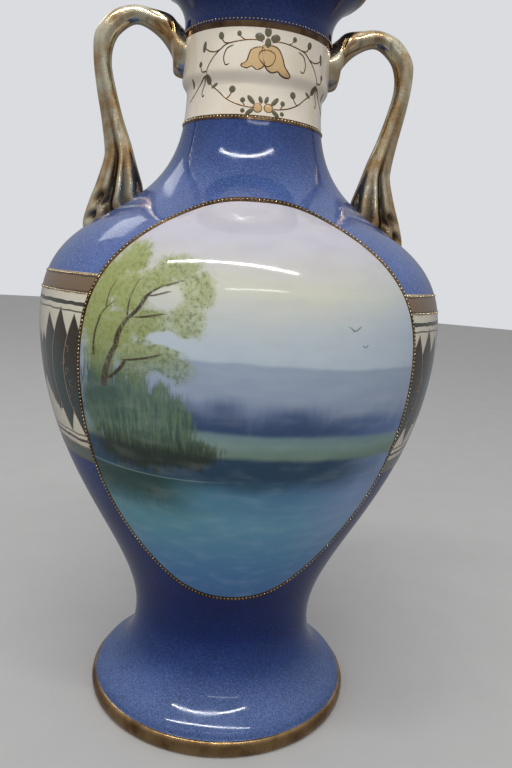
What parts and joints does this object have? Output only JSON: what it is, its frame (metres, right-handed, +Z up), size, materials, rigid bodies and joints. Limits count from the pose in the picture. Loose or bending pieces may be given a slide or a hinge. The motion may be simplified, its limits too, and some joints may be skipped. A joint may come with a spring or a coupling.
{
  "type": "two-handled vase",
  "caption": "Footed porcelain vase with a full shoulder, slim neck, trumpet lip and two swan-neck handles from shoulder to neck; open hollow inside.",
  "frame": {"origin": "centre of the standing ring on the underside of the foot, on the axis of the turned body", "axes": "+Z up along the axis of the body; the painted front faces -Y; the handles stand out along -X and +X"},
  "size_m": [0.182, 0.182, 0.3327],
  "materials": {
    "blue_glaze": "glossy clear glaze over speckled powder blue, with a painted lake landscape on the front",
    "gilding": "bright, slightly worn gilding on the handles, the foot rim, the bead rows and the scroll work",
    "cream_glaze": "glossy cream ground round the neck and in the side panels"
  },
  "bodies": {
    "root": {"vase": "blue_glaze"}
  },
  "joints": []
}
